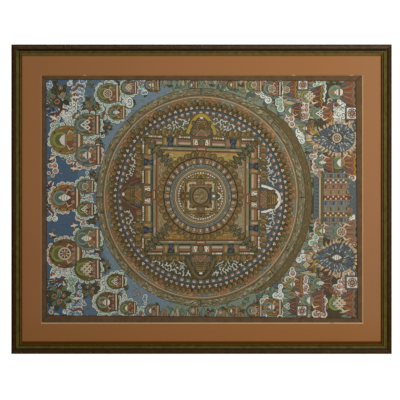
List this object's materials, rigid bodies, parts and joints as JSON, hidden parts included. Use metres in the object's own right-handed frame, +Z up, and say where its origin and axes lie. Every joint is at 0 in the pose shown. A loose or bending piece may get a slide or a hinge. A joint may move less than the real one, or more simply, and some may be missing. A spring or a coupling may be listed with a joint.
{
  "type": "framed thangka painting",
  "caption": "Painted cloth mandala with brown border strips, behind a bevelled window mat in a mitred wooden wall frame.",
  "frame": {"origin": "middle of the flat back of the top rail, on the plane that lies against the wall", "axes": "+Z up the wall, +X to the viewer's right, -Y towards the viewer, +Y into the wall"},
  "size_m": [0.8, 0.019, 0.651],
  "materials": {
    "dark_wood": "dark brown and olive stained wood, satin, worn at the edges",
    "mat_board": "matt tan mat board with a cream bevel",
    "border_cloth": "plain brown cotton, matt",
    "painted_cloth": "cotton canvas painted in matt mineral colours, slightly faded",
    "backing_board": "plain brown fibreboard"
  },
  "bodies": {
    "root": {"rail_top": "dark_wood", "rail_bottom": "dark_wood", "rail_left": "dark_wood", "rail_right": "dark_wood", "window_mat": "mat_board", "border_top": "border_cloth", "border_bottom": "border_cloth", "border_left": "border_cloth", "border_right": "border_cloth", "painted_cloth": "painted_cloth", "backing_board": "backing_board"}
  },
  "joints": []
}
